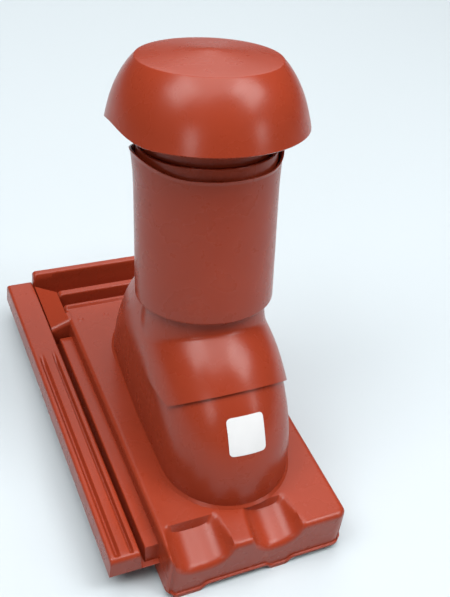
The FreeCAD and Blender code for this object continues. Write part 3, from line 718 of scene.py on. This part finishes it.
# Inner slide: a loose moulded shell below the dome's crown, pressed on the vent pipe, which
# keeps the skirt down on the dome while it swings.
SLIDE_TURN, SLIDE_EDGE_Z, SLIDE_GROW, SLIDE_BORE, SLIDE_WALL = 33, 134.0, -5.5, 49.0, 2.0
slide = saddle_shell("slide", -SLIDE_TURN, SLIDE_TURN, SLIDE_EDGE_Z, SLIDE_GROW, SLIDE_BORE, SLIDE_WALL)
slide.data.materials.append(inner)
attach(slide, "stack")
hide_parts("inner_slide")

# Rain hood: a moulded bell with a shallow cone on top and a crisp brow, its rim drawn up a
# little at the two sides, held by webs on a sleeve that drops into the collar.
HOOD_WALL, HOOD_PEAK, BROW, BROW_INSET = 2.5, 358.2, (60.2, 351.9, 1.6), 0.6
HOOD_SIDE = ((61.5, 350.6), (67.6, 343.3), (72.4, 336.2), (76.2, 329.0), (79.2, 321.9), (81.6, 314.8),
             (83.6, 307.6), (85.8, 298.5))
SIDE_STEPS, SIDE_DEGREE = 25, 4
RIM_R, RIM_HALF, RIM_RISE, RIM_EDGE = HOOD_SIDE[-1][0], 52.0, 7.5, 0.7
WEBS, WEB_HALF = 4, 1.5
FIN = ((51, 293, 0), (66, 293, 3), (68, 312.5, 2), (80.6, 312.5, 0), (78, 321.9, 0), (74.8, 329, 0),
       (70.8, 336.2, 0), (66, 343.3, 0), (59.5, 349.3, 0), (51, 350.5, 0), (51, 293, 0))
KEY = ((54.5, 264, 0), (57.6, 264, 0), (57.6, 277, 1), (54.5, 277, 0), (54.5, 264, 0))
SLEEVE_BORE, SLEEVE_R, SLEEVE_FOOT, SLEEVE_TOP = 52.5, 55.0, 262.0, 300.0


def hood_line(inset):
    """The bell's side line, moved inwards by the inset."""
    knots = np.array(HOOD_SIDE)
    away = np.gradient(knots, axis=0)
    normal = np.stack([away[:, 1], -away[:, 0]], -1) / np.linalg.norm(away, axis=1)[:, None]
    return knots + normal * inset


def hood_grid():
    """The bell's inner face from the top to the rim, and its outer face back up."""
    rows = []
    for inset in (0.0, HOOD_WALL):
        side = hood_line(inset)
        brow = (BROW[0] - inset * BROW_INSET, BROW[1] - inset, BROW[2])
        top = bend([(0.0, HOOD_PEAK - inset, 0), brow, tuple(side[0]) + (0,)])
        s, knots = np.linspace(0, 1, SIDE_STEPS), np.linspace(0, 1, len(side))
        radius, height = (np.polyval(np.polyfit(knots, side[:, k], SIDE_DEGREE), s) for k in (0, 1))
        part = [on_stack(r, ROUND, np.full(len(ROUND), h)) for r, h in divide(top[:-1], 8)]
        rim = height[-1] + lift(RIM_R * np.sin(ROUND), RIM_HALF, RIM_RISE)
        stop = np.interp(rim, height[::-1], s[::-1])
        for share in s:
            r, h = np.interp(share * stop, s, radius), np.interp(share * stop, s, height)
            part.append(on_stack(r, ROUND, h))
        rows.append(part)
    edge = (np.array(rows[0][-1]) + np.array(rows[1][-1])) / 2
    low = np.array([0, -math.sin(LEAN), -math.cos(LEAN)]) * RIM_EDGE
    return np.array(rows[1] + [edge + low] + rows[0][::-1])


def ring_tree():
    """Copies of a piece turned about the leaning stack axis."""
    tree, given, end = node_tree("ring_of_webs", (("Count", "Int"), ("Lean", "Float")))
    add, link = tree.nodes.new, tree.links.new
    line, spread, index = (add("GeometryNode" + k) for k in ("MeshLine", "InstanceOnPoints", "InputIndex"))
    share, turn = add("ShaderNodeMath"), add("ShaderNodeMath")
    share.operation, turn.operation = "DIVIDE", "MULTIPLY"
    share.inputs[0].default_value = math.tau
    line.inputs["Offset"].default_value = (0, 0, 0)
    link(given["Count"], line.inputs["Count"])
    link(given["Count"], share.inputs[1])
    link(share.outputs[0], turn.inputs[0])
    link(index.outputs["Index"], turn.inputs[1])
    about, turned_by = add("ShaderNodeCombineXYZ"), add("FunctionNodeEulerToRotation")
    link(turn.outputs[0], about.inputs["Z"])
    link(about.outputs["Vector"], turned_by.inputs["Euler"])
    link(line.outputs["Mesh"], spread.inputs["Points"])
    link(given["Piece"], spread.inputs["Instance"])
    link(turned_by.outputs["Rotation"], spread.inputs["Rotation"])
    tilt, place = add("ShaderNodeCombineXYZ"), add("GeometryNodeTransform")
    link(times(tree, given["Lean"], -1), tilt.inputs["X"])
    link(tilt.outputs["Vector"], place.inputs["Rotation"])
    place.inputs["Translation"].default_value = (HOME + (0, FOOT_Y, FIELD_Z)) * MM
    link(spread.outputs["Instances"], place.inputs["Geometry"])
    link(place.outputs["Geometry"], end)
    return tree


def web_plate(name, corners):
    """A flat plate of the webs' thickness, its outline given as (radius, height) about the stack axis."""
    line = bend(corners)
    sides = [np.insert(line, 1, d, axis=1) for d in (WEB_HALF, -WEB_HALF)]
    return skin(name, capped(sides) - HOME)


web = bake([web_plate("fin", FIN), web_plate("key", KEY)], "hood_webs")
webs = grow(web, ring_tree(), {"Count": WEBS, "Lean": LEAN})
sleeve = turned("hood_sleeve", ring_line(SLEEVE_BORE, SLEEVE_R, SLEEVE_FOOT, SLEEVE_TOP, 0.8))
hood = bake([skin("hood_bell", hood_grid(), around=True), sleeve, webs], "hood")
hood.data.materials.append(terracotta)
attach(hood, "stack")
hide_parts("rain_hood")

# Studio: a wide pale blue-white table with faint clouding, broad soft lights above and behind
# it, two from high at the sides and two small ones low in front. Places are in metres.
TABLE_SIZE, TABLE_ROUGH, TABLE_CLOUDS = 14, 0.7, 3
TABLE_TONES = ((0.485, 0.538, 0.565, 1), (0.50, 0.547, 0.572, 1))
SKY, SKY_STRENGTH = (0.86, 0.93, 1.0, 1), 0.05
LAMP_AIM = Vector((0, 0, 0.15))
LAMPS = (("overhead", (-0.2, 0.0, 4.0), 3.6, 168), ("behind", (0.85, 1.9, 1.9), 2.2, 22),
         ("left_high", (-1.5, -0.1, 2.3), 1.1, 28), ("right_high", (1.2, -0.8, 2.3), 1.2, 37),
         ("left_low", (-1.3, -1.4, 1.05), 0.42, 4.5), ("right_low", (1.25, -1.45, 1.05), 0.34, 3.5))
bpy.ops.mesh.primitive_plane_add(size=TABLE_SIZE)
floor = bpy.context.object
floor.name = "table"
table_white = bpy.data.materials.new("table_white")
table_white.use_nodes = True
tree = table_white.node_tree
cloud = tree.nodes.new("ShaderNodeTexNoise")
cloud.inputs["Scale"].default_value = TABLE_CLOUDS
blend = tree.nodes.new("ShaderNodeMix")
blend.data_type = "RGBA"
blend.inputs[6].default_value, blend.inputs[7].default_value = TABLE_TONES
tree.links.new(cloud.outputs["Fac"], blend.inputs[0])
shader = tree.nodes["Principled BSDF"]
tree.links.new(blend.outputs[2], shader.inputs["Base Color"])
shader.inputs["Roughness"].default_value = TABLE_ROUGH
floor.data.materials.append(table_white)
world = bpy.data.worlds.new("studio")
bpy.context.scene.world = world
world.use_nodes = True
sky = world.node_tree.nodes["Background"]
sky.inputs["Color"].default_value, sky.inputs["Strength"].default_value = SKY, SKY_STRENGTH
for name, place, size, power in LAMPS:
    lamp = bpy.data.lights.new(name, "AREA")
    lamp.size, lamp.energy = size, power
    light = bpy.data.objects.new(name, lamp)
    light.location = place
    light.rotation_euler = (LAMP_AIM - Vector(place)).to_track_quat("-Z", "Y").to_euler()
    bpy.context.collection.objects.link(light)

# Camera: stands where the photo was taken from, in front and above on the side lap's side, rolled
# and with its lens shifted to the photo's frame.
CAMERA_PLACE, CAMERA_TURN = (-0.27346, -0.59788, 0.73968), (-32.44, 41.46, 11.62)
LENS, LENS_SHIFT, SENSOR, NEAREST = 56.28, (-0.0732, 0.0398), 36, 0.01
eye = bpy.data.cameras.new("photo")
eye.lens, eye.sensor_width, eye.clip_start = LENS, SENSOR, NEAREST
eye.shift_x, eye.shift_y = LENS_SHIFT
camera = bpy.data.objects.new("photo", eye)
yaw, pitch, roll = (math.radians(v) for v in CAMERA_TURN)
ahead = Vector((-math.sin(yaw) * math.cos(pitch), math.cos(yaw) * math.cos(pitch), -math.sin(pitch)))
right = ahead.cross(Vector((0, 0, 1))).normalized()
up = right.cross(ahead)
right, up = right * math.cos(roll) + up * math.sin(roll), up * math.cos(roll) - right * math.sin(roll)
camera.matrix_world = Matrix((right, up, -ahead)).transposed().to_4x4()
camera.location = CAMERA_PLACE
bpy.context.collection.objects.link(camera)
bpy.context.scene.camera = camera
bpy.context.scene.view_settings.view_transform = "Standard"
